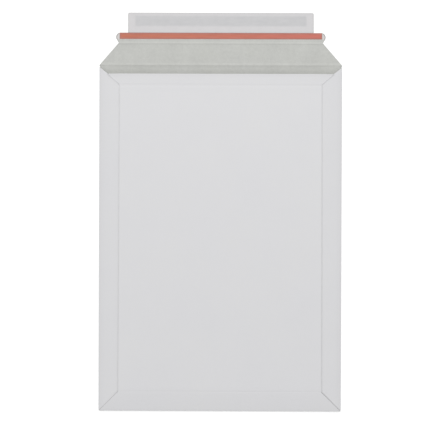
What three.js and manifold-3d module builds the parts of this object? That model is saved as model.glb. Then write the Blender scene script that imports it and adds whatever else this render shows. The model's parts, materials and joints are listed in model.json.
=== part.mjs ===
// A rigid cardboard envelope of the expanding kind, open and lying on its back panel.
// One die-cut sheet of solid board is folded up from the bottom and in from both sides.
// The front panel is glued on top of the side flaps, and both meet along 45 degree mitres.
// Millimetres, +Z up. X runs across the envelope and +Y from its bottom fold to its flap.
// The origin is under the middle of the opened envelope, on the surface that it lies on.

import * as THREE from 'three';
import { mergeVertices } from 'three/addons/utils/BufferGeometryUtils.js';
import Module from 'manifold-3d';

const wasm = await Module();
wasm.setup();

// Driving dimensions of the folded pocket

const BOARD = 0.6;
const WIDTH = 234;
const LENGTH = 334;
const MARGIN = 19;
const CLEAR_HEIGHT = 4.2;
const BEND_RADIUS = 0.8;
const RISE_BOW = THREE.MathUtils.degToRad(9);
const SEAM_OVERLAP = 15;
const SEAM_GLUE = 0.15;
const GLUE_WIDTH = 9;
const GLUE_END_SETBACK = 18;

// Front panel's free edge, measured from the flap's crease and from the side folds

const MOUTH_SETBACK = 8.6;
const MOUTH_SCORE_SETBACK = 19;
const MOUTH_CORNER_INSET = 7.7;
const FRONT_TAPER = 0.7;

// Mitred corners of the side flaps: the hairline along the front panel's mitre, the notch that
// frees both folds at the corner, and the slanted cut at the mouth

const MITRE_GAP = 0.25;
const CORNER_NOTCH = 0.6;
const MOUTH_CUT_START = 2;
const MOUTH_CUT_ANGLE = THREE.MathUtils.degToRad(39.4);
const CREASE_EAR = 1.6;

// Score lines pressed into the board, and the wider bead along the flap's crease

const SCORE_WIDTH = 1.2;
const SCORE_DEPTH = 0.12;
const CREASE_WIDTH = 2.4;
const CREASE_DEPTH = 0.2;
const CREASE_GAP = 0.3;

// Closing flap, measured from its crease

const WALL_WIDTH = 20.8;
const NECK_HALF_WIDTH = 98.4;
const NECK_HEIGHT = 21.4;
const TAB_RADIUS = 4.3;
const TAB_REACH = 101.05;
const TAB_START = THREE.MathUtils.degToRad(-35);
const LIP_FOOT = 31.2;
const LIP_TOP = 50.4;
const LIP_HALF_WIDTH = 89.5;
const LIP_CORNER = 1.6;

// Tear tape, adhesive and release liner on the flap's inner face

const TAPE_WIDTH = 6;
const TAPE_INSET = 0.1;
const TAPE_HALF_LENGTH = 97.6;
const TAPE_THICKNESS = 0.12;
const ADHESIVE_FOOT = 37.9;
const ADHESIVE_WIDTH = 9.4;
const ADHESIVE_HALF_LENGTH = 82.3;
const ADHESIVE_THICKNESS = 0.15;
const LINER_INSET = 0.3;
const LINER_THICKNESS = 0.1;

// Fineness of the curves, and spare board that an outline trims off

const FOLD_FACET = THREE.MathUtils.degToRad(12);
const BOW_FACETS = 4;
const CURVE_SEGMENTS = 12;
const TRIM = BOARD;

// Heights and places that follow from the dimensions above

const HALF = WIDTH / 2;
const BEND_OUTSIDE = BEND_RADIUS + BOARD / 2;
const SEAM_LEVEL = BOARD + CLEAR_HEIGHT + BOARD;
const FRONT_LEVEL = SEAM_LEVEL + SEAM_GLUE;
const FOLD_Y = -(LENGTH + LIP_TOP) / 2;
const CREASE_Y = FOLD_Y + LENGTH;

// Materials

const whiteBoard = new THREE.MeshStandardMaterial({ color: 0xdcdcde, roughness: 0.62, metalness: 0 });
const greyBoard = new THREE.MeshStandardMaterial({ color: 0xc3c4c1, roughness: 0.9, metalness: 0 });
const redTape = new THREE.MeshStandardMaterial({ color: 0xc97a6a, roughness: 0.35, metalness: 0 });
const liner = new THREE.MeshStandardMaterial({ color: 0xd4d4d6, roughness: 0.4, metalness: 0 });
const clearAdhesive = new THREE.MeshStandardMaterial({ color: 0xc9c9cb, roughness: 0.25, metalness: 0 });
const driedGlue = new THREE.MeshStandardMaterial({ color: 0xd8d2bc, roughness: 0.5, metalness: 0 });

// Solids and booleans

function toSolid(geometry) {
	const bare = geometry.clone();
	bare.deleteAttribute('normal');
	bare.deleteAttribute('uv');
	const merged = mergeVertices(bare, 1e-5);
	return new wasm.Manifold(new wasm.Mesh({
		numProp: 3,
		vertProperties: merged.attributes.position.array,
		triVerts: new Uint32Array(merged.index.array),
	}));
}

function toGeometry(solid) {
	const mesh = solid.getMesh();
	const indexed = new THREE.BufferGeometry();
	indexed.setAttribute('position', new THREE.BufferAttribute(mesh.vertProperties, 3));
	indexed.setIndex(new THREE.BufferAttribute(mesh.triVerts, 1));
	const faceted = indexed.toNonIndexed();
	faceted.computeVertexNormals();
	return faceted;
}

// Section of a strip of board, walked along its middle line from the back panel outwards.
// Every fold turns to the left, so the inner face is on the left and the white one on the right.
function boardSection(start, steps) {
	const at = new THREE.Vector2(start, BOARD / 2);
	const innerFace = [];
	const outerFace = [];
	let heading = 0;
	const mark = (direction, press = 0) => {
		const left = new THREE.Vector2(-Math.sin(direction), Math.cos(direction));
		innerFace.push(at.clone().addScaledVector(left, BOARD / 2 + press));
		outerFace.push(at.clone().addScaledVector(left, press - BOARD / 2));
	};
	const advance = (length) => {
		at.x += length * Math.cos(heading);
		at.y += length * Math.sin(heading);
	};
	// An arc marks the start of each facet, and the move after it marks its end.
	const arc = (turn, radius, facets) => {
		const halfStep = turn / facets / 2;
		for (let i = 0; i < facets; i++) {
			mark(heading);
			heading += halfStep;
			advance(2 * radius * Math.sin(halfStep));
			heading += halfStep;
		}
	};
	const moves = {
		run: advance,
		// The strip starts or ends in a plain cut.
		cut() {
			mark(heading);
		},
		// A full fold rolls round a tight arc.
		fold(turn) {
			arc(turn, BEND_RADIUS, Math.ceil(turn / FOLD_FACET));
		},
		// A margin bows a little on its way from its fold to its score.
		bow(length) {
			arc(RISE_BOW, length / RISE_BOW, BOW_FACETS);
		},
		// A score is a groove on the outer face and a bead on the inner one, bent by a small turn.
		score(turn) {
			advance(-SCORE_WIDTH / 2);
			mark(heading);
			advance(SCORE_WIDTH / 2);
			mark(heading + turn / 2, SCORE_DEPTH);
			heading += turn;
			advance(SCORE_WIDTH / 2);
			mark(heading);
			advance(-SCORE_WIDTH / 2);
		},
		// Half of the crease's bead ends a strip or starts one.
		endAtCrease() {
			advance(-CREASE_WIDTH / 2);
			mark(heading);
			advance(CREASE_WIDTH / 2);
			mark(heading, CREASE_DEPTH);
		},
		startAtCrease() {
			mark(heading, CREASE_DEPTH);
			advance(CREASE_WIDTH / 2);
			mark(heading);
		},
	};
	for (const [name, value] of steps) {
		moves[name](value);
	}
	return new THREE.Shape([...outerFace, ...innerFace.reverse()]);
}

// Extrudes a section along the envelope, with the section's right hand turned outwards:
// side 1 faces +X, side -1 faces -X.
function extrudeAlongY(section, side) {
	const geometry = new THREE.ExtrudeGeometry(section, { depth: LENGTH, bevelEnabled: false });
	geometry.translate(0, 0, -LENGTH / 2);
	const turn = new THREE.Matrix4().makeBasis(
		new THREE.Vector3(side, 0, 0),
		new THREE.Vector3(0, 0, 1),
		new THREE.Vector3(0, -side, 0),
	);
	geometry.applyMatrix4(turn);
	geometry.translate(0, FOLD_Y + LENGTH / 2, 0);
	return toSolid(geometry);
}

// Extrudes a section across the envelope. Its start lies at originY and it runs towards
// +Y where along is 1 and towards -Y where along is -1.
function extrudeAlongX(section, originY, along) {
	const geometry = new THREE.ExtrudeGeometry(section, { depth: WIDTH, bevelEnabled: false });
	geometry.translate(0, 0, -HALF);
	const turn = new THREE.Matrix4().makeBasis(
		new THREE.Vector3(0, along, 0),
		new THREE.Vector3(0, 0, 1),
		new THREE.Vector3(along, 0, 0),
	);
	geometry.applyMatrix4(turn);
	geometry.translate(0, originY, 0);
	return toSolid(geometry);
}

// An upright prism on a plan outline, tall enough to trim the whole stack.
function prism(outline) {
	const geometry = new THREE.ExtrudeGeometry(outline, {
		depth: FRONT_LEVEL + 4 * BOARD,
		bevelEnabled: false,
		curveSegments: CURVE_SEGMENTS,
	});
	geometry.translate(0, 0, -BOARD);
	return toSolid(geometry);
}

// Plan outline that is alike on both sides of the middle, from the points of its right half.
function mirroredOutline(rightHalf) {
	const leftHalf = rightHalf.map(([x, y]) => new THREE.Vector2(-x, y)).reverse();
	return new THREE.Shape([...rightHalf.map(([x, y]) => new THREE.Vector2(x, y)), ...leftHalf]);
}

// A margin that rises from its fold to a level panel, whose middle line lies at a given height:
// how far the fold turns, how long the bowed stretch is, and how far its score turns back.
function riseFromFold(height) {
	const halfBow = RISE_BOW / 2;
	const up = height - BOARD / 2 - BEND_RADIUS;
	const across = MARGIN - BEND_OUTSIDE;
	const reach = Math.hypot(up, across);
	const aside = BEND_RADIUS * Math.cos(halfBow);
	const slope = Math.atan2(up, across) - Math.asin(aside / reach);
	const chord = Math.sqrt(reach ** 2 - aside ** 2) + BEND_RADIUS * Math.sin(halfBow);
	return {
		foldTurn: Math.PI - slope - halfBow,
		bowLength: chord * halfBow / Math.sin(halfBow),
		scoreTurn: slope - halfBow,
	};
}

// Folded pocket

function makeBackPanel() {
	const section = boardSection(0, [
		['cut'],
		['run', LENGTH - BEND_OUTSIDE - CREASE_GAP / 2],
		['endAtCrease'],
	]);
	const outline = mirroredOutline([
		[HALF - BEND_OUTSIDE, FOLD_Y],
		[HALF - BEND_OUTSIDE, CREASE_Y - CREASE_EAR - BEND_OUTSIDE],
		[HALF, CREASE_Y - CREASE_EAR],
		[HALF, CREASE_Y],
	]);
	return extrudeAlongX(section, FOLD_Y + BEND_OUTSIDE, 1).intersect(prism(outline));
}

function makeSideFlap(side) {
	const rise = riseFromFold(SEAM_LEVEL - BOARD / 2);
	const section = boardSection(HALF - BEND_OUTSIDE - BOARD, [
		['cut'],
		['run', BOARD],
		['fold', rise.foldTurn],
		['bow', rise.bowLength],
		['score', rise.scoreTurn],
		['run', SEAM_OVERLAP + TRIM],
		['cut'],
	]);
	const depth = MARGIN + SEAM_OVERLAP;
	const mouthEndY = CREASE_Y - MOUTH_CUT_START;
	const outline = new THREE.Shape([
		[HALF, FOLD_Y + CORNER_NOTCH + MITRE_GAP],
		[HALF, mouthEndY],
		[HALF - depth, mouthEndY - depth * Math.tan(MOUTH_CUT_ANGLE)],
		[HALF - depth, FOLD_Y + depth + MITRE_GAP],
		[HALF - CORNER_NOTCH, FOLD_Y + CORNER_NOTCH + MITRE_GAP],
	].map(([x, y]) => new THREE.Vector2(side * x, y)));
	return extrudeAlongY(section, side).intersect(prism(outline));
}

function makeFrontPanel() {
	const rise = riseFromFold(FRONT_LEVEL + BOARD / 2);
	const section = boardSection(-BOARD, [
		['cut'],
		['run', BOARD],
		['fold', rise.foldTurn],
		['bow', rise.bowLength],
		['score', rise.scoreTurn],
		['run', LENGTH - MARGIN - MOUTH_SCORE_SETBACK],
		['score', 0],
		['run', MOUTH_SCORE_SETBACK - MOUTH_SETBACK + TRIM],
		['cut'],
	]);
	const outline = mirroredOutline([
		[HALF - CORNER_NOTCH, FOLD_Y],
		[HALF - CORNER_NOTCH, FOLD_Y + CORNER_NOTCH],
		[HALF - MARGIN, FOLD_Y + MARGIN],
		[HALF - MARGIN - FRONT_TAPER, CREASE_Y - MOUTH_SCORE_SETBACK],
		[HALF - MOUTH_CORNER_INSET, CREASE_Y - MOUTH_SETBACK],
	]);
	return extrudeAlongX(section, FOLD_Y + BEND_OUTSIDE, -1).intersect(prism(outline));
}

function makeFoldedPocket() {
	const solid = makeBackPanel()
		.add(makeSideFlap(1))
		.add(makeSideFlap(-1))
		.add(makeFrontPanel());
	return toGeometry(solid);
}

// A film of glue joins the front panel to a side flap.
function makeSeamGlue() {
	const glueLength = LENGTH - 2 * (MARGIN + GLUE_END_SETBACK);
	return new THREE.BoxGeometry(GLUE_WIDTH, glueLength, SEAM_GLUE);
}

// Closing flap

function flapOutline() {
	const tabX = TAB_REACH - TAB_RADIUS;
	const tabY = CREASE_Y + LIP_FOOT - TAB_RADIUS;
	const cornerX = LIP_HALF_WIDTH - LIP_CORNER;
	const cornerY = CREASE_Y + LIP_TOP - LIP_CORNER;
	const outline = new THREE.Shape();
	outline.moveTo(-HALF, CREASE_Y);
	outline.lineTo(HALF, CREASE_Y);
	outline.lineTo(NECK_HALF_WIDTH, CREASE_Y + NECK_HEIGHT);
	outline.absarc(tabX, tabY, TAB_RADIUS, TAB_START, Math.PI / 2);
	outline.lineTo(LIP_HALF_WIDTH, CREASE_Y + LIP_FOOT);
	outline.absarc(cornerX, cornerY, LIP_CORNER, 0, Math.PI / 2);
	outline.absarc(-cornerX, cornerY, LIP_CORNER, Math.PI / 2, Math.PI);
	outline.lineTo(-LIP_HALF_WIDTH, CREASE_Y + LIP_FOOT);
	outline.absarc(-tabX, tabY, TAB_RADIUS, Math.PI / 2, Math.PI - TAB_START);
	outline.lineTo(-NECK_HALF_WIDTH, CREASE_Y + NECK_HEIGHT);
	outline.closePath();
	return outline;
}

function makeClosingFlap() {
	const section = boardSection(CREASE_GAP / 2, [
		['startAtCrease'],
		['run', WALL_WIDTH - (CREASE_GAP + CREASE_WIDTH) / 2],
		['score', 0],
		['run', LIP_TOP - WALL_WIDTH + TRIM],
		['cut'],
	]);
	return toGeometry(extrudeAlongX(section, CREASE_Y, 1).intersect(prism(flapOutline())));
}

function makeTearTape() {
	return new THREE.BoxGeometry(2 * TAPE_HALF_LENGTH, TAPE_WIDTH, TAPE_THICKNESS);
}

function makeAdhesiveStrip() {
	return new THREE.BoxGeometry(2 * ADHESIVE_HALF_LENGTH, ADHESIVE_WIDTH, ADHESIVE_THICKNESS);
}

// The liner covers the lip with a narrow border of board left round it.
function makeReleaseLiner() {
	const cornerX = LIP_HALF_WIDTH - LINER_INSET - LIP_CORNER;
	const cornerY = (LIP_TOP - LIP_FOOT - LINER_INSET) / 2 - LIP_CORNER;
	const outline = new THREE.Shape();
	outline.absarc(cornerX, cornerY, LIP_CORNER, 0, Math.PI / 2);
	outline.absarc(-cornerX, cornerY, LIP_CORNER, Math.PI / 2, Math.PI);
	outline.absarc(-cornerX, -cornerY, LIP_CORNER, Math.PI, 1.5 * Math.PI);
	outline.absarc(cornerX, -cornerY, LIP_CORNER, 1.5 * Math.PI, 2 * Math.PI);
	outline.closePath();
	return new THREE.ExtrudeGeometry(outline, {
		depth: LINER_THICKNESS,
		bevelEnabled: false,
		curveSegments: CURVE_SEGMENTS,
	});
}

// Assembly

function addPart(parent, name, geometry, material, x, y, z) {
	const mesh = new THREE.Mesh(geometry, material);
	mesh.name = name;
	mesh.position.set(x, y, z);
	parent.add(mesh);
}

const group = new THREE.Group();
group.name = 'rigid_envelope';

const pocket = new THREE.Group();
pocket.name = 'pocket_group';
group.add(pocket);
addPart(pocket, 'folded_pocket', makeFoldedPocket(), whiteBoard, 0, 0, 0);
for (const [name, side] of [['seam_glue_left', -1], ['seam_glue_right', 1]]) {
	const seamX = side * (HALF - MARGIN - SEAM_OVERLAP / 2);
	addPart(pocket, name, makeSeamGlue(), driedGlue, seamX, FOLD_Y + LENGTH / 2, SEAM_LEVEL + SEAM_GLUE / 2);
}

const flap = new THREE.Group();
flap.name = 'flap_group';
group.add(flap);
addPart(flap, 'closing_flap', makeClosingFlap(), greyBoard, 0, 0, 0);
addPart(
	flap, 'tear_tape', makeTearTape(), redTape,
	0, CREASE_Y + LIP_FOOT - TAPE_INSET - TAPE_WIDTH / 2, BOARD + TAPE_THICKNESS / 2,
);
addPart(
	flap, 'adhesive_strip', makeAdhesiveStrip(), clearAdhesive,
	0, CREASE_Y + ADHESIVE_FOOT + ADHESIVE_WIDTH / 2, BOARD + ADHESIVE_THICKNESS / 2,
);
addPart(
	flap, 'release_liner', makeReleaseLiner(), liner,
	0, CREASE_Y + (LIP_TOP + LIP_FOOT - LINER_INSET) / 2, BOARD + ADHESIVE_THICKNESS,
);

export default group;
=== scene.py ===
"""Dresses a rigid cardboard envelope for rendering.

The envelope lies open on its back panel. One die-cut sheet of solid board, white outside and grey
inside, is folded into a shallow pocket with mitred margins and a closing flap. The flap carries a
tear tape and a strip of sealing adhesive under its release liner.
Lengths are in metres, or in millimetres where a function says so. +Z is up, and +Y runs from the
bottom fold towards the closing flap.
"""

import json
import math

import bpy
import numpy as np
from bpy.props import FloatProperty, FloatVectorProperty, PointerProperty
from mathutils import Euler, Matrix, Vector
from mathutils.kdtree import KDTree


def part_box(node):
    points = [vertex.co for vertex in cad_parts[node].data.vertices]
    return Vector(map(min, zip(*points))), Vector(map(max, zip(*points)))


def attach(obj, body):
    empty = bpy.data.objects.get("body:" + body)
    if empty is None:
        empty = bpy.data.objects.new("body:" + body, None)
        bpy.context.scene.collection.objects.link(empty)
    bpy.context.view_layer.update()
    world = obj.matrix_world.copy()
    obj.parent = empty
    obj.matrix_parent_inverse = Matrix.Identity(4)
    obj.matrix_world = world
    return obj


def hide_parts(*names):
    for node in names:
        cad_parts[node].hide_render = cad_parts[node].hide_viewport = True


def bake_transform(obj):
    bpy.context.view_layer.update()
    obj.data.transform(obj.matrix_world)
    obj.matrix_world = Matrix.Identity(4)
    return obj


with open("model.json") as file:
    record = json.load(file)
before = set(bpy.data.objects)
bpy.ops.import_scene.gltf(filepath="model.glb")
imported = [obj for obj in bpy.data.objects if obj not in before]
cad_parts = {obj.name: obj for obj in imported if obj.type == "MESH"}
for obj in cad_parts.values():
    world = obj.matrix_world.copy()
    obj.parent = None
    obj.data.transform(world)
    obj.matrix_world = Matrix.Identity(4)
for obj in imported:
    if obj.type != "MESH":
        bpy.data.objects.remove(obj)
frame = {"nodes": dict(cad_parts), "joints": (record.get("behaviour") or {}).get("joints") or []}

bl_info = {
    "name": "Rigid Cardboard Envelope",
    "version": (1, 0, 0),
    "blender": (4, 5, 0),
    "location": "View3D > Sidebar > Envelope",
    "description": "Folds and finishes an open board envelope and sets its stage",
    "category": "Add Mesh",
}

MM = 0.001
WHITE = (1, 1, 1, 1)

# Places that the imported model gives

POCKET_LOW, POCKET_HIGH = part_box("folded_pocket")
_, FLAP_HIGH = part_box("closing_flap")
TAPE_LOW, TAPE_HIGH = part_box("tear_tape")
ADHESIVE_LOW, ADHESIVE_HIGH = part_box("adhesive_strip")
LINER_LOW, LINER_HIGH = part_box("release_liner")
GLUE_LOW, GLUE_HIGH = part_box("seam_glue_right")
BOARD = TAPE_LOW.z
HALF = POCKET_HIGH.x
FOLD_Y = POCKET_LOW.y
CREASE_Y = frame["joints"][0]["pos_m"][1]

# Fineness of the meshes

FACE_STEP = 5 * MM
CURVE_STEP = math.radians(12)
EDGE_RINGS = (0.2 * MM, 1.2 * MM, 2.4 * MM)
SHARP_ANGLE = math.radians(40)
NEAREST_CUTS = 0.01 * MM
CREASE_REACH = 3 * MM
HAIR = 1e-7


def length(name, about, millimetres):
    """A setting that is a length."""
    size = millimetres * MM
    return FloatProperty(name=name, description=about, default=size, min=0, unit="LENGTH", precision=5)


def angle(name, about, degrees):
    """A setting that is an angle."""
    return FloatProperty(name=name, description=about, default=math.radians(degrees), unit="ROTATION")


def share(name, about, part):
    """A setting that is a share of a whole."""
    return FloatProperty(name=name, description=about, default=part, min=0, max=1, subtype="FACTOR")


def tint(name, about, colour):
    """A setting that is a colour, as it looks on the screen."""
    return FloatVectorProperty(
        name=name, description=about, default=colour, size=3, min=0, max=1, subtype="COLOR_GAMMA"
    )


class PocketSizes(bpy.types.PropertyGroup):
    """Sizes of the folded pocket."""

    margin: length("Margin", "From an outer fold to its score", 19)
    bend_radius: length("Bend radius", "Middle line of the board in a full fold", 0.8)
    rise_bow: angle("Rise bow", "How far a sloping margin bows", 6)
    seam_overlap: length("Seam overlap", "Side flap's reach under the front panel", 15)
    mouth_setback: length("Mouth setback", "From the crease to the front panel's free edge", 8.8)
    mouth_score_setback: length("Mouth score setback", "From the crease to the front panel's score", 19)
    mouth_corner_inset: length("Mouth corner inset", "From a side fold to the panel's mouth corner", 7.7)
    mouth_droop: share("Mouth droop", "How closely the mouth corners follow the side flaps", 0.96)
    front_taper: length("Front taper", "How far the front panel narrows", 0.7)
    front_sag: length("Front sag", "How far the front panel sinks", 0.5)
    mitre_gap_left: length("Left mitre gap", "Hairline beside the left flap", 0.15)
    mitre_gap_right: length("Right mitre gap", "Hairline beside the right flap", 0.3)
    corner_notch: length("Corner notch", "Cut away where two folds meet", 0.6)
    mouth_cut_start: length("Mouth cut start", "From the crease to a side flap's cut", 2)
    mouth_cut_angle: angle("Mouth cut angle", "Slant of a side flap's cut at the mouth", 39.4)
    score_width: length("Score width", "Width of a score line", 1.2)
    score_depth: length("Score depth", "Depth of a score line", 0.1)
    crease_width: length("Crease width", "Width of the bead along the crease", 2.4)
    crease_depth: length("Crease depth", "Height of the bead along the crease", 0.2)


class FlapSizes(bpy.types.PropertyGroup):
    """Sizes of the closing flap, measured from its crease."""

    wall_width: length("Wall width", "From the crease to the second score", 20.8)
    neck_half_width: length("Neck half width", "Where the slanted sides end", 98.4)
    neck_height: length("Neck height", "Where the slanted sides end", 21.4)
    tab_radius: length("Tab radius", "Rounding of the finger tabs", 4.3)
    tab_reach: length("Tab reach", "From the middle to a finger tab's end", 101.05)
    tab_start: angle("Tab start", "Where the tab's arc starts, below level", 35)
    lip_foot: length("Lip foot", "Where the sealing lip starts", 31.2)
    lip_half_width: length("Lip half width", "Half of the sealing lip", 89.5)
    lip_corner: length("Lip corner", "Corner radius of the lip", 1.2)
    wall_swell: length("Wall swell", "How unevenly the first panel lies", 0.05)


class SealSizes(bpy.types.PropertyGroup):
    """Small forms of the tape, the adhesive and the liner."""

    tape_ripple: length("Tape ripple", "Height of the tape's ripples", 0.02)
    adhesive_fray: length("Adhesive fray", "How far the adhesive's edges wander", 0.35)
    liner_swell: length("Liner swell", "How far the loose liner stands off", 0.07)


class Colours(bpy.types.PropertyGroup):
    """Colours of the materials."""

    coating: tint("Coating", "White clay coat of the outer face", (0.843, 0.843, 0.853))
    coating_warm: tint("Warm coating", "Coat where it has yellowed", (0.87, 0.868, 0.858))
    grey: tint("Grey board", "Uncoated inner face", (0.766, 0.77, 0.756))
    grey_olive: tint("Olive grey", "Inner face where it has yellowed", (0.765, 0.768, 0.742))
    core: tint("Core", "Plies at a cut edge", (0.74, 0.735, 0.72))
    tab: tint("Finger tab", "Board rubbed pale past the tape's ends", (0.83, 0.815, 0.81))
    tape: tint("Tear tape", "Red plastic over grey board", (0.733, 0.4, 0.295))
    # Painted sheen on the tape's right end.
    tape_pink_sheen: tint("Faded tape", "Tear tape at its pinker right end", (0.771, 0.395, 0.338))
    tape_edge: tint("Tape edge", "Tear tape where it is rubbed thin", (0.685, 0.415, 0.365))
    liner: tint("Liner", "Release paper", (0.808, 0.802, 0.807))
    liner_wet: tint("Liner over adhesive", "Release paper over the adhesive", (0.754, 0.754, 0.76))
    adhesive: tint("Adhesive", "Clear hot-melt", (0.82, 0.815, 0.8))
    glue: tint("Seam glue", "Dried dispersion glue", (0.85, 0.83, 0.76))
    floor: tint("Floor", "Pale table top", (0.965, 0.965, 0.965))


class StageSettings(bpy.types.PropertyGroup):
    """Camera and light."""

    distance: length("Camera distance", "From the camera to its target", 1500)
    field: length("Field", "Width of the view at the target", 425.2)
    tilt: angle("Tilt", "Camera's turn about X", -0.394)
    lean: angle("Lean", "Camera's turn about Y", 0.351)
    roll: angle("Roll", "Camera's turn about its line of sight", 0.2)
    target: FloatVectorProperty(
        name="Target", description="Point that the camera looks at", size=2, unit="LENGTH",
        default=(-0.2 * MM, -7.68 * MM),
    )
    fill: share("Fill", "Part of the light from all sides", 0.68)
    key: share("Key", "Part of the light from the soft box", 0.32)
    key_place: FloatVectorProperty(
        name="Key place", description="Middle of the soft box", size=3, unit="LENGTH", default=(0, 1.08, 1.9)
    )
    key_size: length("Key size", "Side of the soft box", 1000)
    glow: share("Glow", "White that the camera sees added to the floor", 0.22)


SETTINGS = {
    "envelope_pocket": PocketSizes,
    "envelope_flap": FlapSizes,
    "envelope_seal": SealSizes,
    "envelope_colours": Colours,
    "envelope_stage": StageSettings,
}


# Shader nodes


class Reading:
    """A number that changes over a surface, so that sums on it are written as plain Python."""

    def __init__(self, finish, socket):
        self.finish = finish
        self.socket = socket

    def sum(self, operation, *terms):
        """The number that a Math node makes of its terms."""
        return self.finish.node("ShaderNodeMath", {"operation": operation}, dict(enumerate(terms)))

    def __add__(self, other):
        return self.sum("ADD", self, other)

    def __sub__(self, other):
        return self.sum("SUBTRACT", self, other)

    def __rsub__(self, other):
        return self.sum("SUBTRACT", other, self)

    def __mul__(self, other):
        return self.sum("MULTIPLY", self, other)

    def __truediv__(self, other):
        return self.sum("DIVIDE", self, other)

    def __abs__(self):
        return self.sum("ABSOLUTE", self)

    __radd__ = __add__
    __rmul__ = __mul__

    def held(self):
        """The same number held between 0 and 1."""
        return self.finish.node("ShaderNodeClamp", {}, {"Value": self})

    def at_least(self, other):
        """The greater of two numbers."""
        return self.sum("MAXIMUM", self, other)

    def outputs(self, *names):
        """Other outputs of the node that this number comes from."""
        return [Reading(self.finish, self.socket.node.outputs[name]) for name in names]


class Finish:
    """The node tree of a material or of the world."""

    def __init__(self, owner):
        self.owner = owner
        owner.use_nodes = True
        self.tree = owner.node_tree
        self.tree.nodes.clear()

    def node(self, kind, settings, sockets, output=0):
        """Adds a node with its settings, then fills or links its sockets. Gives one of its outputs."""
        made = self.tree.nodes.new(kind)
        for name, value in settings.items():
            setattr(made, name, value)
        for name, value in sockets.items():
            if isinstance(value, Reading):
                self.tree.links.new(value.socket, made.inputs[name])
            else:
                made.inputs[name].default_value = value
        return Reading(self, made.outputs[output]) if made.outputs else None

    def place(self):
        """Where a point lies on the flat sheet, in metres, with its ply as the third number."""
        return self.node("ShaderNodeAttribute", {"attribute_name": "flat_place"}, {}, "Vector")

    def object_place(self):
        return self.node("ShaderNodeTexCoord", {}, {}, "Object")

    def parts(self, vector):
        return self.node("ShaderNodeSeparateXYZ", {}, {"Vector": vector}).outputs("X", "Y", "Z")

    def near_edge(self, reach=EDGE_RINGS[-1]):
        """1 at a cut edge, falling to 0 within a reach of it."""
        near = self.node("ShaderNodeAttribute", {"attribute_name": "cut_edge"}, {}, "Fac")
        return (1 - (1 - near) * (EDGE_RINGS[-1] / reach)).held()

    def rise(self, place, start, end):
        """0 at one place, rising to 1 at another."""
        return ((place - start) / (end - start)).held()

    def line(self, place, middle, half, depth=1.0):
        """The depth of a line along its middle, falling to 0 at its sides."""
        return (1 - abs(place - middle) / half).held() * depth

    def lines(self, *lines):
        """The sum of lines, each given as its place, middle, half width and depth."""
        return sum(self.line(*line) for line in lines)

    def band(self, place, low, high, soft):
        """1 between two places, falling to 0 over a short way just inside them."""
        return self.rise(place, low, low + soft) * self.rise(place, high, high - soft)

    def scaled(self, vector, factors):
        return self.node("ShaderNodeVectorMath", {"operation": "MULTIPLY"}, {0: vector, 1: factors})

    def turned(self, vector, degrees):
        turn = {"Vector": vector, "Angle": math.radians(degrees)}
        return self.node("ShaderNodeVectorRotate", {"rotation_type": "Z_AXIS"}, turn)

    def cloud(self, vector, across, along=None, detail=2.0):
        """Soft noise about 0, with spots of the given size in millimetres."""
        squeezed = self.scaled(vector, (1 / (across * MM), 1 / ((along or across) * MM), 0))
        sockets = {"Vector": squeezed, "Scale": 1.0, "Detail": detail}
        return self.node("ShaderNodeTexNoise", {"noise_dimensions": "2D"}, sockets) - 0.5

    def flecks(self, vector, across, along, degrees, level, gain=7):
        """Thin marks that lie one way, sized in millimetres and rarer at a higher level."""
        marks = self.cloud(self.turned(vector, degrees), across, along, detail=1.0)
        return ((marks - level) * gain).held()

    def mixed(self, amount, first, second):
        """A colour between two others."""
        return self.node("ShaderNodeMix", {"data_type": "RGBA"}, {0: amount, 6: first, 7: second}, 2)

    def shades(self, amount, colour, dark, pale):
        """A colour between a darker and a paler shade of itself."""
        return self.mixed(amount, linear(colour, dark), linear(colour, pale))

    def bump(self, height, strength, distance):
        """A normal that follows a height, with its distance in millimetres."""
        sockets = {"Height": height, "Strength": strength, "Distance": distance * MM}
        return self.node("ShaderNodeBump", {}, sockets)

    def surface(self, sockets):
        """Ends the tree with one plastic, paper or board shader."""
        self.show(self.node("ShaderNodeBsdfPrincipled", {}, sockets))
        return self.owner

    def show(self, shader):
        self.node("ShaderNodeOutputMaterial", {}, {"Surface": shader})


def new_finish(name):
    return Finish(bpy.data.materials.new(name))


def linear(colour, shade=1.0):
    """A screen colour as the light it stands for, made darker or paler by a share."""
    channels = [c / 12.92 if c <= 0.04045 else ((c + 0.055) / 1.055) ** 2.4 for c in colour]
    return (*[min(c * shade, 1.0) for c in channels], 1.0)


def seen_rays(finish):
    """1 for what the camera sees directly, in a reflection or through a clear surface."""
    path = finish.node("ShaderNodeLightPath", {}, {})
    camera, glossy, clear = path.outputs("Is Camera Ray", "Is Glossy Ray", "Is Transmission Ray")
    return camera.at_least(glossy).at_least(clear)


def seam_crush_and_shadow(finish, blank, x, y, rim):
    """How dark the seams are: on the front panel's rim a crushed cut edge, darkened further by painted shade,
    and on the right flap beside it a painted shadow line.
    """
    clear = 17 * MM
    on_rim = rim * finish.band(y, blank.flat_mouth + clear, blank.fold_y - clear, soft=3 * MM)
    low, high = blank.margin_y, blank.mouth_score_y
    low_x, high_x = blank.seam_on_flap(np.array([low, high]))
    lean = (high_x - low_x) / (high - low)
    # Painted shadow: a dark line on the right side flap, just past the front panel's edge.
    on_flap = finish.line(x - (y - low) * lean, low_x - 0.55 * MM, 0.5 * MM, 0.9)
    return on_rim * (0.33 - x * 2.2) + on_flap * finish.band(y, low, high, soft=3 * MM)


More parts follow.
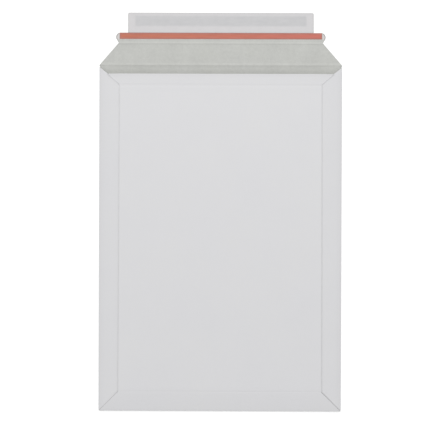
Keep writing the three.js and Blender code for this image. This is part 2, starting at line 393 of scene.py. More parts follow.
def coated_board(colours, blank):
    """White clay coat on solid board: nearly smooth, with a faint cloud and grain, darker towards the mouth
    edge, painted shade along its scores, side folds and seams, and painted light on its bottom margin and at
    its mouth corners.
    """
    finish = new_finish("coated_board")
    place = finish.place()
    x, y, _ = finish.parts(place)
    cloud = finish.cloud(place, 22) * 0.28 + finish.cloud(place, 5) * 0.16
    grain = finish.cloud(place, 0.5, 14, detail=1.0)
    tooth = finish.cloud(place, 0.45, detail=3.0)
    specks = finish.flecks(place, 0.9, 1.1, degrees=25, level=0.33, gain=12)
    rim = finish.near_edge(0.9 * MM)
    # Darker towards the mouth edge; painted shade along the side folds, in and beside the mouth score, and
    # beside the bottom score.
    mouth_lines_and_painted_shade = finish.lines(
        (y, blank.flat_mouth, 9 * MM, 0.35),
        (y, blank.flat_mouth, 3.4 * MM, 0.5),
        (abs(x), blank.side_x + 1.5 * MM, 6 * MM, 0.35),
        (y, blank.flat_mouth_score + 0.5 * MM, 0.8 * MM, 0.9),
        (y, blank.flat_mouth_score + 4 * MM, 5 * MM, 0.12),
        (y, blank.flat_bottom_score - MM, MM, 0.2),
    )
    # Painted light: a paler band over the bottom fold and the bottom margin.
    painted_margin_light = finish.band(y, blank.fold_y - 22 * MM, blank.fold_y + 2 * MM, soft=3 * MM)
    even = 0.62 + cloud * 0.5 + grain * 0.14 + tooth * 0.12 - specks * 0.2
    amount = (even + painted_margin_light * 0.24 - mouth_lines_and_painted_shade - seam_crush_and_shadow(finish, blank, x, y, rim)).held()
    shade = finish.shades(amount, colours.coating, dark=0.93, pale=1.045)
    warmth = (0.5 + finish.cloud(place, 60) * 1.2).held() * 0.25
    warmed = finish.mixed(warmth, shade, linear(colours.coating_warm))
    # Painted light: near the mouth corners the front panel's rim is made paler, which lightens the shade
    # along the mouth mitres.
    corner = finish.band(y, blank.flat_mouth + MM, blank.flat_mouth + 11 * MM, soft=MM)
    colour = finish.mixed(rim * corner * 0.7, warmed, linear(colours.coating, 1.28))
    relief = finish.cloud(place, 6) * 0.3 + tooth * 0.25 + grain * 0.2
    return finish.surface({
        "Base Color": colour,
        "Roughness": 0.5 + cloud * 0.12 + tooth * 0.1,
        "IOR": 1.5,
        "Normal": finish.bump(relief, strength=0.3, distance=0.06),
    })


def grey_board(colours, blank):
    """Uncoated recycled board: matt grey with dark and pale fibres lying every way, painted light and shade
    along its crease, wall score and mouth, and painted shadow in the crease's corners.
    """
    finish = new_finish("grey_board")
    place = finish.place()
    x, y, _ = finish.parts(place)
    cloud = finish.cloud(place, 14) * 0.6 + finish.cloud(place, 3, detail=4.0) * 0.6
    dark = finish.flecks(place, 0.28, 2.2, degrees=8, level=0.16)
    pale = finish.flecks(place, 0.3, 2.6, degrees=-35, level=0.15)
    for way in (52, 98, 151):
        dark = dark.at_least(finish.flecks(place, 0.28, 2, way, level=0.17))
        pale = pale.at_least(finish.flecks(place, 0.3, 2.4, way + 23, level=0.16))
    specks = finish.flecks(place, 0.7, 0.8, degrees=0, level=0.3, gain=10)
    edge_nearness = finish.near_edge(1.2 * MM)
    # Painted light and shade: a shade band below the crease, kept off its ends; shade below the wall score;
    # highlights above the wall score and the crease; and light beside the front panel's mouth edge.
    inside = finish.rise(abs(x), HALF - 8 * MM, HALF - 20 * MM)
    wall_score_y = CREASE_Y + blank.flap.wall_width
    painted_light_and_shade_lines = inside * finish.line(y, CREASE_Y - 1.6 * MM, 1.6 * MM, 0.7) + finish.lines(
        (y, wall_score_y - 0.6 * MM, MM, 0.72),
        (y, wall_score_y + MM, 0.9 * MM, -0.8),
        (y, CREASE_Y + 1.6 * MM, 0.9 * MM, -0.7),
        (y, blank.mouth_y + 0.9 * MM, 1.8 * MM, -0.9),
    )
    # Painted shadow where the crease meets the side folds.
    painted_crease_corner_shadow = finish.rise(abs(x), HALF - 4 * MM, HALF - MM) * finish.line(y, CREASE_Y - MM, 3 * MM)
    even = 0.5 + cloud * 0.7 + pale * 0.3 - dark * 0.4 - specks * 0.5
    amount = (even - painted_light_and_shade_lines * 0.35 - painted_crease_corner_shadow * 0.3 - edge_nearness * 0.3).held()
    shade = finish.shades(amount, colours.grey, dark=0.84, pale=1.14)
    olive = (0.5 + finish.cloud(place, 30) * 1.5).held() * 0.3
    mottled = finish.mixed(olive, shade, linear(colours.grey_olive))
    # Past the tape's ends the finger tabs take a paler colour.
    past_tape = finish.rise(abs(x), TAPE_HIGH.x + 0.2 * MM, TAPE_HIGH.x + 0.8 * MM)
    past_tape = past_tape * finish.rise(y, TAPE_LOW.y - MM, TAPE_LOW.y)
    tabbed = finish.mixed(past_tape, mottled, linear(colours.tab))
    relief = finish.cloud(place, 0.5, detail=4.0) + pale * 0.35 - dark * 0.2
    return finish.surface({
        # Painted shade: at the finger tabs' cut edges the colour darkens towards a half-shade copy of the
        # core colour.
        "Base Color": finish.mixed(past_tape * edge_nearness, tabbed, linear(colours.core, 0.5)),
        "Roughness": 0.86 + cloud * 0.1,
        "Specular IOR Level": 0.25,
        "Normal": finish.bump(relief, strength=0.4, distance=0.09),
    })


def cut_edge(colours):
    """Cut edge of the board: a white coat line on grey plies, with torn fibres."""
    finish = new_finish("cut_edge")
    place = finish.place()
    ply = finish.parts(place)[2]
    layered = finish.scaled(place, (1, 1, 0.4 * MM))
    sockets = {"Vector": layered, "Scale": 1 / (0.35 * MM), "Detail": 3.0}
    torn = finish.node("ShaderNodeTexNoise", {"noise_dimensions": "3D"}, sockets) - 0.5
    plies = ply.sum("SINE", ply * 9)
    amount = (0.5 + torn * 0.9 + plies * 0.16).held()
    core = finish.shades(amount, colours.core, dark=0.78, pale=1.22)
    coat = ((-0.72 - ply) * 12).held()
    return finish.surface({
        "Base Color": finish.mixed(coat, core, linear(colours.coating, 0.97)),
        "Roughness": 0.9,
        "Specular IOR Level": 0.2,
        "Normal": finish.bump(torn + plies * 0.3, strength=0.6, distance=0.08),
    })


def tear_tape_plastic(colours):
    """Thin red film, pinker and paler towards its right end as painted sheen. The board's grey shows along
    its rubbed edges.
    """
    finish = new_finish("tear_tape")
    place = finish.place()
    edge_nearness = finish.near_edge()
    streaks = finish.cloud(place, 60, 0.5, detail=3.0)
    cloud = finish.cloud(place, 18, 5)
    bubbles = finish.flecks(place, 2.2, 1.1, degrees=12, level=0.2, gain=9)
    # Painted sheen: the colour turns pinker towards the tape's right end.
    along = (finish.parts(place)[0] / TAPE_HIGH.x + 1) / 2
    plain = finish.mixed(along * along, linear(colours.tape), linear(colours.tape_pink_sheen))
    film = finish.mixed((edge_nearness * 1.1).held(), plain, linear(colours.tape_edge))
    amount = (0.55 + streaks * 0.35 + cloud * 0.5 + bubbles * 0.14 - edge_nearness * 0.15).held()
    return finish.surface({
        "Base Color": finish.mixed(amount, finish.scaled(film, (0.8,) * 3), finish.scaled(film, (1.16,) * 3)),
        "Roughness": 0.36 + cloud * 0.12 + bubbles * 0.1,
        "IOR": 1.48,
        "Normal": finish.bump(streaks * 0.4 + bubbles * 0.8 + cloud * 0.6, strength=0.35, distance=0.05),
    })


def liner_paper(colours):
    """Silicone-coated release paper, darker where the adhesive under it wets it."""
    finish = new_finish("release_liner")
    place = finish.place()
    x, y, _ = finish.parts(place)
    edge_nearness = finish.near_edge(1.2 * MM)
    wander = finish.cloud(place, 4) * (0.9 * MM)
    soak, soft = 1.1 * MM, 1.9 * MM
    middle_y = (ADHESIVE_HIGH.y + ADHESIVE_LOW.y) / 2
    side_x = ADHESIVE_HIGH.x + soak
    side_y = (ADHESIVE_HIGH.y - ADHESIVE_LOW.y) / 2 + soak
    across = finish.rise(abs(x) - wander, side_x, side_x - soft)
    wet = across * finish.rise(abs(y - middle_y) - wander, side_y, side_y - soft)
    patches = finish.cloud(place, 9, 3, detail=3.0)
    held = (wet * (0.86 + patches * 0.7)).held()
    fibre = finish.cloud(place, 0.4, 1.6, detail=3.0)
    cloud = finish.cloud(place, 7)
    amount = (0.55 + cloud * 0.45 + fibre * 0.25 - edge_nearness * 0.3).held()
    dry = finish.shades(amount, colours.liner, dark=0.93, pale=1.05)
    damp = finish.shades(amount, colours.liner_wet, dark=0.93, pale=1.05)
    relief = patches * wet * 0.8 + wet * 0.9 + fibre * 0.12 + cloud * 0.5
    return finish.surface({
        "Base Color": finish.mixed(held, dry, damp),
        "Roughness": 0.42 - held * 0.08 + fibre * 0.1,
        "IOR": 1.43,
        "Normal": finish.bump(relief, strength=0.4, distance=0.1),
    })


def clear_adhesive(colours):
    """Hot-melt adhesive, glossy and a little cloudy."""
    finish = new_finish("clear_adhesive")
    place = finish.place()
    cloud = finish.cloud(place, 6, 2, detail=3.0)
    strings = finish.cloud(place, 30, 0.8)
    amount = (0.5 + cloud * 0.8 + strings * 0.4).held()
    return finish.surface({
        "Base Color": finish.shades(amount, colours.adhesive, dark=0.88, pale=1.08),
        "Roughness": 0.18 + cloud * 0.15,
        "IOR": 1.5,
        "Normal": finish.bump(cloud + strings, strength=0.4, distance=0.08),
    })


def dried_glue(colours):
    """Dried dispersion glue, cream and satin, with runs and small bubbles."""
    finish = new_finish("dried_glue")
    place = finish.object_place()
    runs = finish.cloud(place, 3, 12, detail=3.0)
    bubbles = finish.flecks(place, 0.8, 0.9, degrees=0, level=0.24, gain=9)
    amount = (0.5 + runs * 0.8 + bubbles * 0.3).held()
    return finish.surface({
        "Base Color": finish.shades(amount, colours.glue, dark=0.86, pale=1.08),
        "Roughness": 0.45 + runs * 0.2,
        "IOR": 1.47,
        "Normal": finish.bump(runs + bubbles * 0.5, strength=0.5, distance=0.1),
    })


def pale_floor(colours, glow):
    """Pale table top that the camera sees as white away from the shadow."""
    finish = new_finish("floor")
    cloud = finish.cloud(finish.object_place(), 80, detail=3.0)
    colour = finish.shades((0.6 + cloud * 0.5).held(), colours.floor, dark=0.98, pale=1.01)
    table = finish.node("ShaderNodeBsdfDiffuse", {}, {"Color": colour})
    light = finish.node("ShaderNodeEmission", {}, {"Color": WHITE, "Strength": glow})
    bright = finish.node("ShaderNodeAddShader", {}, {0: table, 1: light})
    finish.show(finish.node("ShaderNodeMixShader", {}, {0: seen_rays(finish), 1: table, 2: bright}))
    return finish.owner


# Sheets of board, film and paper


class FoldedLine:
    """The middle line of a strip of board that leaves the back panel.

    Each stretch is (length, turn, press): an arc, or a straight run where it turns by nothing. A
    score is a stretch that is pushed towards the inner face. Out is measured away from the back
    panel in its own plane, and up at right angles to it.
    """

    def __init__(self, *stretches):
        self.stretches = stretches
        self.ends = np.cumsum([0] + [stretch[0] for stretch in stretches])

    def at(self, travelled):
        """Out, up, heading and press at each distance travelled."""
        out, up, heading, press = np.zeros((4, *travelled.shape))
        for start, (run, turn, depth) in zip(self.ends, self.stretches):
            done = np.clip(travelled - start, 0, run)
            bend = turn * done / run
            chord = done * np.sinc(bend / (2 * np.pi))
            out += chord * np.cos(heading + bend / 2)
            up += chord * np.sin(heading + bend / 2)
            heading += bend
            press += depth * np.sin(np.pi * done / run) ** 2
        return out, up, heading, press

    def stations(self, steps, *extra):
        """Distances that cut the line into rows, each stretch in its own number of steps."""
        cuts = [np.linspace(a, b, n + 1) for a, b, n in zip(self.ends, self.ends[1:], steps)]
        return tidy_cuts(*cuts, *extra)


def tidy_cuts(*cuts):
    """All cuts in order, without those that lie on one another."""
    ordered = np.unique(np.round(np.concatenate(cuts), 7))
    return ordered[np.append(True, np.diff(ordered) > NEAREST_CUTS)]


def spread(low, high, step):
    """Even places from low to high, no further apart than step."""
    return np.linspace(low, high, math.ceil((high - low) / step) + 1)


def rings(low, high):
    """Both ends of a stretch, with the rings that follow a cut edge just inside them."""
    inside = np.array(EDGE_RINGS)
    return np.concatenate([[low], low + inside, high - inside[::-1], [high]])


def ringed(low, high, step, *extra):
    """Even places with the rings of both ends, and any extra ones."""
    return tidy_cuts(rings(low, high), spread(low, high, step), *extra)


class Sheet:
    """A thin sheet: grids that share their edges, given flat and as folded."""

    def __init__(self):
        self.numbers = {}
        self.flat = []
        self.middle = []
        self.inward = []
        self.quads = []

    def add_grid(self, flat, middle, inward):
        """Adds a grid whose rows go up and columns to the right on the flat sheet."""
        rows, columns = flat.shape[:2]
        number = np.empty((rows, columns), int)
        for row, column in np.ndindex(rows, columns):
            key = tuple(np.round(flat[row, column] / MM, 4))
            if key not in self.numbers:
                self.numbers[key] = len(self.flat)
                self.flat.append(flat[row, column])
                self.middle.append(middle[row, column])
                self.inward.append(inward[row, column])
            number[row, column] = self.numbers[key]
        corners = (number[:-1, :-1], number[:-1, 1:], number[1:, 1:], number[1:, :-1])
        self.quads.extend(np.stack(corners, -1).reshape(-1, 4).tolist())

    def border(self):
        """The edges that only one quad has, each in its quad's direction."""
        edges = {}
        for quad in self.quads:
            for start, end in zip(quad, quad[1:] + quad[:1]):
                if edges.pop((end, start), None) is None:
                    edges[start, end] = True
        return list(edges)

    def edge_distance(self, border):
        """How far each place lies from the nearest cut edge, on the flat sheet."""
        flat = np.array(self.flat)
        step = 0.5 * MM
        points = []
        for start, end in border:
            way = flat[end] - flat[start]
            parts = spread(0, 1, step / max(np.linalg.norm(way), step))
            points.extend(flat[start] + part * way for part in parts)
        tree = KDTree(len(points))
        for number, point in enumerate(points):
            tree.insert((*point, 0), number)
        tree.balance()
        return np.array([tree.find((*place, 0))[2] for place in flat])

    def thickened(self, name, thickness, edge_share, materials):
        """A solid object. Its inner face, outer face and cut edge take the materials in turn."""
        border = self.border()
        distance = self.edge_distance(border)
        soft = np.interp(distance, [0, EDGE_RINGS[0]], [edge_share, 1])
        offset = np.array(self.inward) * (soft * thickness / 2)[:, None]
        middle = np.array(self.middle)
        count = len(middle)
        inner = self.quads
        outer = [[n + count for n in reversed(quad)] for quad in self.quads]
        walls = [[end, start, start + count, end + count] for start, end in border]
        mesh = bpy.data.meshes.new(name)
        places = np.concatenate([middle + offset, middle - offset]).tolist()
        mesh.from_pydata(places, [], inner + outer + walls)
        for material in materials:
            mesh.materials.append(material)
        last = len(materials) - 1
        numbers = [0] * len(inner) + [min(1, last)] * len(outer) + [last] * len(walls)
        mesh.polygons.foreach_set("material_index", numbers)
        place = np.concatenate([np.column_stack([self.flat, np.full(count, ply)]) for ply in (1.0, -1.0)])
        mesh.attributes.new("flat_place", "FLOAT_VECTOR", "POINT").data.foreach_set("vector", place.ravel())
        edge_nearness = np.clip(1 - distance / EDGE_RINGS[-1], 0, 1)
        mesh.attributes.new("cut_edge", "FLOAT", "POINT").data.foreach_set("value", np.tile(edge_nearness, 2))
        mesh.shade_smooth()
        mesh.set_sharp_from_angle(angle=SHARP_ANGLE)
        mesh.validate()
        made = bpy.data.objects.new(name, mesh)
        bpy.context.scene.collection.objects.link(made)
        return made


def wave(u, v, size, phase):
    """A gentle unevenness between -1 and 1."""
    first = np.sin(2 * np.pi * u / size + phase) * np.cos(2 * np.pi * v / (1.31 * size) + 2 * phase)
    second = np.sin(2 * np.pi * (0.6 * u + 0.8 * v) / (0.57 * size) + 3 * phase)
    return (2 * first + second) / 3


class Blank:
    """The die-cut sheet of board, and how each of its panels folds."""

    def __init__(self, pocket, flap):
        self.pocket = pocket
        self.flap = flap
        self.bend_outside = pocket.bend_radius + BOARD / 2
        self.side_x = HALF - self.bend_outside
        self.fold_y = FOLD_Y + self.bend_outside
        self.ear_y = CREASE_Y - pocket.mouth_cut_start
        self.foot_y = CREASE_Y + flap.lip_foot
        self.tab_y = self.foot_y - flap.tab_radius
        self.margin_y = FOLD_Y + pocket.margin
        self.mouth_y = CREASE_Y - pocket.mouth_setback
        self.mouth_score_y = CREASE_Y - pocket.mouth_score_setback
        self.base_line = self.make_base_line()
        self.front_line = self.make_front_line()
        self.side_line = self.make_side_line()
        front = self.fold_y - self.front_line.ends
        self.flat_bottom_score = front[2:4].mean()
        self.flat_mouth_score = front[4:6].mean()
        self.flat_mouth = front[-1]

    def make_base_line(self):
        """Back panel and closing flap, up from the bottom fold."""
        crease = self.pocket.crease_width
        score = self.pocket.score_width
        wall = self.flap.wall_width
        return FoldedLine(
            (CREASE_Y - self.fold_y - crease / 2, 0, 0),
            (crease, 0, self.pocket.crease_depth),
            (wall - (crease + score) / 2, 0, 0),
            (score, 0, self.pocket.score_depth),
            (FLAP_HIGH.y - CREASE_Y - wall - score / 2, 0, 0),
        )

    def rise(self, level):
        """Stretches that fold over from the back panel and rise to a level across the margin."""
        radius = self.pocket.bend_radius
        half_bow = self.pocket.rise_bow / 2
        half_score = self.pocket.score_width / 2
        up = level - BOARD / 2 - radius
        across = self.pocket.margin - self.bend_outside
        reach = math.hypot(up, across)
        slope = math.atan2(up, across) - math.asin(radius * math.cos(half_bow) / reach)
        chord = math.sqrt(reach**2 - (radius * math.cos(half_bow)) ** 2) + radius * math.sin(half_bow)
        run = chord * half_bow / math.sin(half_bow)
        bow_in_score = 2 * half_bow * half_score / run
        fold = math.pi - slope - half_bow
        return (
            (radius * fold, fold, 0),
            (run - half_score, 2 * half_bow - bow_in_score, 0),
            (2 * half_score, slope - half_bow + bow_in_score, self.pocket.score_depth),
        )

    def make_front_line(self):
        """Front panel, from the bottom fold over and up to the mouth."""
        score = self.pocket.score_width
        return FoldedLine(
            *self.rise(GLUE_HIGH.z + BOARD / 2),
            (self.mouth_score_y - self.margin_y - score, 0, 0),
            (score, 0, self.pocket.score_depth),
            (self.mouth_y - self.mouth_score_y - score / 2, 0, 0),
        )

    def make_side_line(self):
        """Side flap, from its fold over and on under the front panel."""
        overlap = self.pocket.seam_overlap - self.pocket.score_width / 2
        return FoldedLine(*self.rise(GLUE_LOW.z - BOARD / 2), (overlap, 0, 0))

    def base_half_width(self, y):
        """Half the width of the back panel and the flap up to the lip's foot."""
        flap = self.flap
        sides = [self.ear_y, self.ear_y + self.bend_outside, CREASE_Y, CREASE_Y + flap.neck_height]
        straight = np.interp(y, sides, [self.side_x, HALF, HALF, flap.neck_half_width])
        tab_x = flap.tab_reach - flap.tab_radius
        start_x = tab_x + flap.tab_radius * math.cos(flap.tab_start)
        start_y = self.tab_y - flap.tab_radius * math.sin(flap.tab_start)
        neck = np.interp(y, [sides[-1], start_y], [flap.neck_half_width, start_x])
        arc = tab_x + np.sqrt(np.clip(flap.tab_radius**2 - (y - self.tab_y) ** 2, 0, None))
        return np.where(y <= sides[-1], straight, np.where(y < start_y, neck, arc))

    def lip_half_width(self, y):
        """Half the width of the lip, rounded at its top corners."""
        corner = self.flap.lip_corner
        over = np.clip(y - (FLAP_HIGH.y - corner), 0, corner)
        return self.flap.lip_half_width - corner + np.sqrt(corner**2 - over**2)

    def front_half_width(self, travelled):
        """Half the width of the front panel at each distance from the bottom fold."""
        pocket = self.pocket
        out = self.front_line.at(travelled)[0]
        notch = pocket.corner_notch
        places = [FOLD_Y, FOLD_Y + notch, self.margin_y, self.mouth_score_y, self.mouth_y]
        insets = [notch, notch, pocket.margin, pocket.margin + pocket.front_taper, pocket.mouth_corner_inset]
        return HALF - np.interp(self.fold_y - out, places, insets)

    def side_reach(self, side, travelled):
        """Lowest and highest y of a side flap at each distance from its fold."""
        pocket = self.pocket
        out, _, heading, _ = self.side_line.at(travelled)
        inset = self.bend_outside - out
        gap = pocket.mitre_gap_right if side > 0 else pocket.mitre_gap_left
        low = np.maximum(inset, pocket.corner_notch) + gap * np.clip(2 * heading / np.pi, 0, 1)
        slanted = np.where(heading < np.pi / 2, 0, inset) * math.tan(pocket.mouth_cut_angle)
        return FOLD_Y + low, self.ear_y - slanted

    def base_rows(self):
        """Rows of the back panel and of the flap up to the lip's foot, from the bottom fold."""
        flap = self.flap
        angles = spread(-flap.tab_start, math.pi / 2, CURVE_STEP)
        rows = self.base_line.stations(
            (66, 8, 6, 8, 1),
            rings(0, self.ear_y - self.fold_y),
            spread(CREASE_Y - CREASE_REACH, CREASE_Y + 4 * MM, 0.25 * MM) - self.fold_y,
            np.array([self.ear_y + self.bend_outside, CREASE_Y + flap.neck_height]) - self.fold_y,
            self.tab_y + flap.tab_radius * np.sin(angles) - self.fold_y,
        )
        return rows[rows <= self.foot_y - self.fold_y + HAIR]

    def strip_columns(self):
        """Columns of the middle of the sheet, as wide as the lip, and shares of its wings."""
        half = self.flap.lip_half_width
        inside = half - EDGE_RINGS[-1]
        middle = tidy_cuts(rings(-half, half), spread(-inside, inside, FACE_STEP))
        return middle / half, np.array([0, 0.33, 0.66])

    def sunk(self, u, v):
        """How far the front panel sinks between its glued seams and at the corners of its mouth."""
        pocket = self.pocket
        travelled = self.fold_y - v
        whole = self.front_line.ends[-1]
        glued_x = HALF - pocket.margin
        seam_x = glued_x - pocket.seam_overlap
        free = np.clip(1 - (u / seam_x) ** 2, 0, 1)
        along = np.clip((travelled - pocket.margin) / whole, 0, 1)
        half_waves = 0.62
        sag = pocket.front_sag * free**2 * np.sin(along * np.pi * half_waves) ** 2
        past_glue = (np.abs(u) > glued_x) & (travelled > whole / 2)
        return sag + pocket.mouth_droop * self.side_fall(np.abs(u)) * past_glue

    def raised(self, u, v):
        """How unevenly the wall of the closing flap lies, between its crease and the tape."""
        start = np.clip((v - CREASE_Y - 4 * MM) / (6 * MM), 0, 1)
        end = np.clip((TAPE_LOW.y - v) / (5 * MM), 0, 1)
        return self.flap.wall_swell * (1 + wave(u, v, size=95 * MM, phase=0.7)) * start * end

    def fold_strip(self, u, v):
        """Middle and inward direction of places on the strip from mouth to lip."""
        base = self.base_line.at(np.clip(v - self.fold_y, 0, None))
        front = self.front_line.at(np.clip(self.fold_y - v, 0, None))
        out, up, heading, press = base[0] - front[0], front[1], front[2], base[3] + front[3]
        press = press + np.where(v < self.fold_y, self.sunk(u, v), self.raised(u, v))
        inward = np.stack([np.zeros_like(heading), np.sin(heading), np.cos(heading)], -1)
        middle = np.stack([u, self.fold_y + out, BOARD / 2 + up], -1)
        return middle + inward * press[..., None], inward

    def fold_side(self, side, travelled, y):
        """Middle and inward direction of places on a side flap."""
        out, up, heading, press = self.side_line.at(travelled)
        inward = np.stack([-side * np.sin(heading), np.zeros_like(heading), np.cos(heading)], -1)
        middle = np.stack([side * (self.side_x + out), y, BOARD / 2 + up], -1)
        return middle + inward * press[..., None], inward

    def side_profile(self):
        """Distance from the fold, x and height along a side flap, from its free edge outwards."""
        travelled = spread(0, self.side_line.ends[-1], 0.5 * MM)
        out, up, heading, _ = self.side_line.at(travelled)
        over = np.flatnonzero(heading > math.pi / 2)[::-1]
        return travelled[over], self.side_x + out[over], up[over]

    def side_fall(self, x):
        """How far below the front panel's level a side flap lies."""
        _, places, up = self.side_profile()
        return up[0] - np.interp(x, places, up)

    def seam_on_flap(self, y):
        """Where the front panel's edge lies on a side flap, on the flat sheet."""
        along = (y - self.margin_y) / (self.mouth_score_y - self.margin_y)
        inset = self.pocket.margin + self.pocket.front_taper * along
        travelled, places, _ = self.side_profile()
        return self.side_x + np.interp(HALF - inset, places, travelled)

    def add_strip(self, sheet):
        """Front panel, back panel and closing flap, which share their columns."""
        middle_share, wing_share = self.strip_columns()
        base = self.base_rows()
        mouth_rings = self.front_line.ends[-1] - np.array((0, *EDGE_RINGS))
        front = self.front_line.stations((16, 8, 8, 58, 8, 1), mouth_rings)
        inner = self.flap.lip_half_width
        rows = np.concatenate([self.fold_y - front[:0:-1], self.fold_y + base])
        front_widths = self.front_half_width(front)[:0:-1]
        widths = np.concatenate([front_widths, self.base_half_width(self.fold_y + base)])
        v = rows[:, None]
        self.add_rows(sheet, np.full_like(v, inner) * middle_share, v)
        rings_out = np.array((*EDGE_RINGS[::-1], 0))
        wing = np.hstack([inner + (widths[:, None] - inner) * wing_share, widths[:, None] - rings_out])
        self.add_rows(sheet, wing, v)
        self.add_rows(sheet, -wing[:, ::-1], v)
        corner = FLAP_HIGH.y - self.flap.lip_corner
        arc = corner + self.flap.lip_corner * np.sin(spread(0, math.pi / 2, 2 * CURVE_STEP))
        lip = tidy_cuts(spread(rows[-1], corner, FACE_STEP / 2), arc, FLAP_HIGH.y - np.array(EDGE_RINGS))
        self.add_rows(sheet, self.lip_half_width(lip)[:, None] * middle_share, lip[:, None])

    def add_rows(self, sheet, u, v):
        v = np.broadcast_to(v, u.shape)
        sheet.add_grid(np.stack([u, v], -1), *self.fold_strip(u, v))

    def add_side(self, sheet, side):
        """A side flap, whose rows go on from those of the back panel."""
        end = self.side_line.ends[-1]
        columns = self.side_line.stations((16, 8, 6, 3), end - np.array(EDGE_RINGS))
        low, high = self.side_reach(side, columns)
        rows = self.fold_y + self.base_rows()
        rows = rows[(rows > low[0] - HAIR) & (rows < high[0] + HAIR)]
        marks = rings(low[0], high[0])
        y = np.stack([np.interp(rows, marks, rings(a, b)) for a, b in zip(low, high)], -1)
        travelled = np.broadcast_to(columns, y.shape)
        flat = np.stack([side * (self.side_x + travelled), y], -1)
        folded = self.fold_side(side, travelled, y)
        order = slice(None, None, side)
        sheet.add_grid(flat[:, order], *[part[:, order] for part in folded])


class ENVELOPE_OT_fold_board(bpy.types.Operator):
    """Cut the board blank, fold it into the pocket and the closing flap, and finish both its faces"""

    bl_idname = "envelope.fold_board"
    bl_label = "Fold the Board"

    def execute(self, context):
        scene = context.scene
        blank = Blank(scene.envelope_pocket, scene.envelope_flap)
        sheet = Sheet()
        blank.add_strip(sheet)
        blank.add_side(sheet, 1)
        blank.add_side(sheet, -1)
        colours = scene.envelope_colours
        materials = (grey_board(colours, blank), coated_board(colours, blank), cut_edge(colours))
        board = sheet.thickened("folded_board", BOARD, edge_share=0.8, materials=materials)
        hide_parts("folded_pocket", "closing_flap")
        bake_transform(board)
        return {"FINISHED"}


def laid_film(name, low, high, x, y, material, edge_share, lift=0):
    """A film on the flap between two heights, lifted a little from place to place."""
    thickness = high.z - low.z
    middle = np.stack([x, y, low.z + thickness / 2 + np.broadcast_to(lift, x.shape)], -1)
    sheet = Sheet()
    sheet.add_grid(middle[..., :2], middle, np.broadcast_to((0.0, 0.0, 1.0), middle.shape))
    return sheet.thickened(name, thickness, edge_share, (material,))


class ENVELOPE_OT_lay_tear_tape(bpy.types.Operator):
    """Lay the red tear tape along the closing flap, from one finger tab to the other"""

    bl_idname = "envelope.lay_tear_tape"
    bl_label = "Lay the Tear Tape"

    def execute(self, context):
        columns = ringed(TAPE_LOW.x, TAPE_HIGH.x, 1.5 * MM)
        rows = ringed(TAPE_LOW.y, TAPE_HIGH.y, 0.6 * MM)
        x, y = np.meshgrid(columns, rows)
        ripple = context.scene.envelope_seal.tape_ripple * (1 + wave(x, 6 * y, size=23 * MM, phase=0.4))
        film = tear_tape_plastic(context.scene.envelope_colours)
        tape = laid_film("tear_tape_film", TAPE_LOW, TAPE_HIGH, x, y, film, edge_share=0.5, lift=ripple)
        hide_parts("tear_tape")
        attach(tape, "flap")
        return {"FINISHED"}


class ENVELOPE_OT_lay_adhesive(bpy.types.Operator):
    """Lay the strip of sealing adhesive on the lip"""

    bl_idname = "envelope.lay_adhesive"
    bl_label = "Lay the Adhesive"

    def execute(self, context):
        fray = context.scene.envelope_seal.adhesive_fray
        columns = spread(ADHESIVE_LOW.x + fray, ADHESIVE_HIGH.x - fray, 1.2 * MM)
        low, high = ADHESIVE_LOW.y + fray, ADHESIVE_HIGH.y - fray
        rows = ringed(low, high, 1.1 * MM)
        x, y = np.meshgrid(columns, rows)
        from_middle = (y - (low + high) / 2) / ((high - low) / 2)
        y = y + from_middle * fray * wave(x, y, size=11 * MM, phase=1.9)
        melt = clear_adhesive(context.scene.envelope_colours)
        strip = laid_film("adhesive_bead", ADHESIVE_LOW, ADHESIVE_HIGH, x, y, melt, edge_share=0.4)
        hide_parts("adhesive_strip")
        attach(strip, "flap")
        return {"FINISHED"}


class ENVELOPE_OT_lay_liner(bpy.types.Operator):
    """Cover the lip and its adhesive with the peel-off release liner"""

    bl_idname = "envelope.lay_liner"
    bl_label = "Lay the Release Liner"

    def execute(self, context):
        scene = context.scene
        corner = scene.envelope_flap.lip_corner
        arc = corner * (1 - np.cos(spread(0, math.pi / 2, 2 * CURVE_STEP)))
        rows = ringed(LINER_LOW.y, LINER_HIGH.y, 0.8 * MM, LINER_LOW.y + arc, LINER_HIGH.y - arc)
        columns = ringed(LINER_LOW.x, LINER_HIGH.x, 2 * MM)
        end = np.minimum(rows - LINER_LOW.y, LINER_HIGH.y - rows)
        missing = corner - np.clip(end, 0, corner)
        half = LINER_HIGH.x - corner + np.sqrt(corner**2 - missing**2)
        x = half[:, None] * (columns / LINER_HIGH.x)
        y = np.broadcast_to(rows[:, None], x.shape)
        off = np.clip(np.maximum(ADHESIVE_LOW.y - y, y - ADHESIVE_HIGH.y) / (4 * MM), 0, 1)
        off = np.maximum(off, np.clip((np.abs(x) - ADHESIVE_HIGH.x) / (6 * MM), 0, 1))
        uneven = 0.5 + 0.5 * wave(x, y, size=31 * MM, phase=2.6)
        swell = scene.envelope_seal.liner_swell * off * uneven
        paper = liner_paper(scene.envelope_colours)
        liner = laid_film("liner_strip", LINER_LOW, LINER_HIGH, x, y, paper, edge_share=0.7, lift=swell)
        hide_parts("release_liner")
        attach(liner, "flap")
        return {"FINISHED"}


class ENVELOPE_OT_finish_glue(bpy.types.Operator):
    """Give the two hidden seam glue films their finish"""

    bl_idname = "envelope.finish_glue"
    bl_label = "Finish the Seam Glue"

    def execute(self, context):
        glue = dried_glue(context.scene.envelope_colours)
        for name in ("seam_glue_left", "seam_glue_right"):
            film = frame["nodes"][name]
            film.data.materials.clear()
            film.data.materials.append(glue)
        return {"FINISHED"}


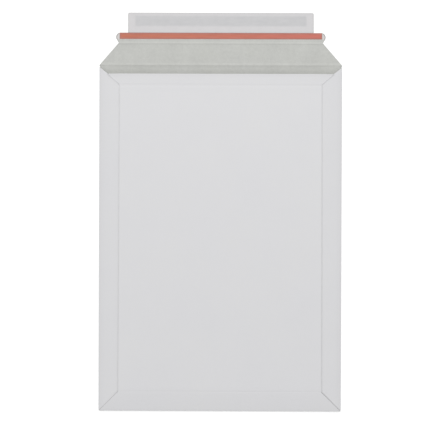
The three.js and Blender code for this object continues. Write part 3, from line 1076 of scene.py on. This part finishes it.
class ENVELOPE_OT_set_stage(bpy.types.Operator):
    """Set the floor, the light and the camera"""

    bl_idname = "envelope.set_stage"
    bl_label = "Set the Stage"

    def execute(self, context):
        stage = context.scene.envelope_stage
        for step in (self.lay_floor, self.hang_soft_box, self.light_world, self.place_camera):
            step(context.scene, stage)
        context.scene.view_settings.view_transform = "Standard"
        return {"FINISHED"}

    def lay_floor(self, scene, stage):
        reach = 4.0
        drop = 0.05 * MM
        mesh = bpy.data.meshes.new("floor")
        corners = [(x * reach, y * reach, -drop) for x, y in ((-1, -1), (1, -1), (1, 1), (-1, 1))]
        mesh.from_pydata(corners, [], [(0, 1, 2, 3)])
        mesh.materials.append(pale_floor(scene.envelope_colours, stage.glow))
        floor = bpy.data.objects.new("floor", mesh)
        scene.collection.objects.link(floor)

    def hang_soft_box(self, scene, stage):
        """A soft box that gives a level face the key's part of the light."""
        place = Vector(stage.key_place)
        lamp = bpy.data.lights.new("soft_box", "AREA")
        lamp.shape = "SQUARE"
        lamp.size = stage.key_size
        lamp.energy = stage.key * math.pi**2 * place.length**3 / place.z
        box = bpy.data.objects.new("soft_box", lamp)
        box.location = place
        box.rotation_euler = (-place).to_track_quat("-Z", "Y").to_euler()
        scene.collection.objects.link(box)

    def light_world(self, scene, stage):
        """Even light from all sides, which the camera sees as white."""
        world = bpy.data.worlds.new("even_fill")
        finish = Finish(world)
        fill = finish.node("ShaderNodeBackground", {}, {"Color": WHITE, "Strength": stage.fill})
        seen = finish.node("ShaderNodeBackground", {}, {"Color": WHITE})
        both = finish.node("ShaderNodeMixShader", {}, {0: seen_rays(finish), 1: fill, 2: seen})
        finish.node("ShaderNodeOutputWorld", {}, {"Surface": both})
        scene.world = world

    def place_camera(self, scene, stage):
        camera = bpy.data.cameras.new("camera")
        camera.lens = camera.sensor_width * stage.distance / stage.field
        camera.clip_start = 0.05
        camera.clip_end = 20
        eye = bpy.data.objects.new("camera", camera)
        eye.rotation_euler = Euler((stage.tilt, stage.lean, stage.roll))
        back = eye.rotation_euler.to_matrix() @ Vector((0, 0, 1))
        eye.location = Vector((*stage.target, 0)) + back * stage.distance
        scene.collection.objects.link(eye)
        scene.camera = eye


OPERATORS = (
    ENVELOPE_OT_fold_board,
    ENVELOPE_OT_lay_tear_tape,
    ENVELOPE_OT_lay_adhesive,
    ENVELOPE_OT_lay_liner,
    ENVELOPE_OT_finish_glue,
    ENVELOPE_OT_set_stage,
)


class VIEW3D_PT_envelope(bpy.types.Panel):
    """Steps that make the envelope, with their settings"""

    bl_label = "Envelope"
    bl_space_type = "VIEW_3D"
    bl_region_type = "UI"
    bl_category = "Envelope"

    def draw(self, context):
        for operator in OPERATORS:
            self.layout.operator(operator.bl_idname)
        for name, group in SETTINGS.items():
            box = self.layout.box()
            for setting in group.__annotations__:
                box.prop(getattr(context.scene, name), setting)


CLASSES = (*SETTINGS.values(), *OPERATORS, VIEW3D_PT_envelope)


def register():
    for cls in CLASSES:
        bpy.utils.register_class(cls)
    for name, group in SETTINGS.items():
        setattr(bpy.types.Scene, name, PointerProperty(type=group))


def unregister():
    for name in SETTINGS:
        delattr(bpy.types.Scene, name)
    for cls in reversed(CLASSES):
        bpy.utils.unregister_class(cls)


def main():
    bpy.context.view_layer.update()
    register()
    bpy.ops.envelope.fold_board()
    bpy.ops.envelope.lay_tear_tape()
    bpy.ops.envelope.lay_adhesive()
    bpy.ops.envelope.lay_liner()
    bpy.ops.envelope.finish_glue()
    bpy.ops.envelope.set_stage()


if __name__ == "__main__":
    main()
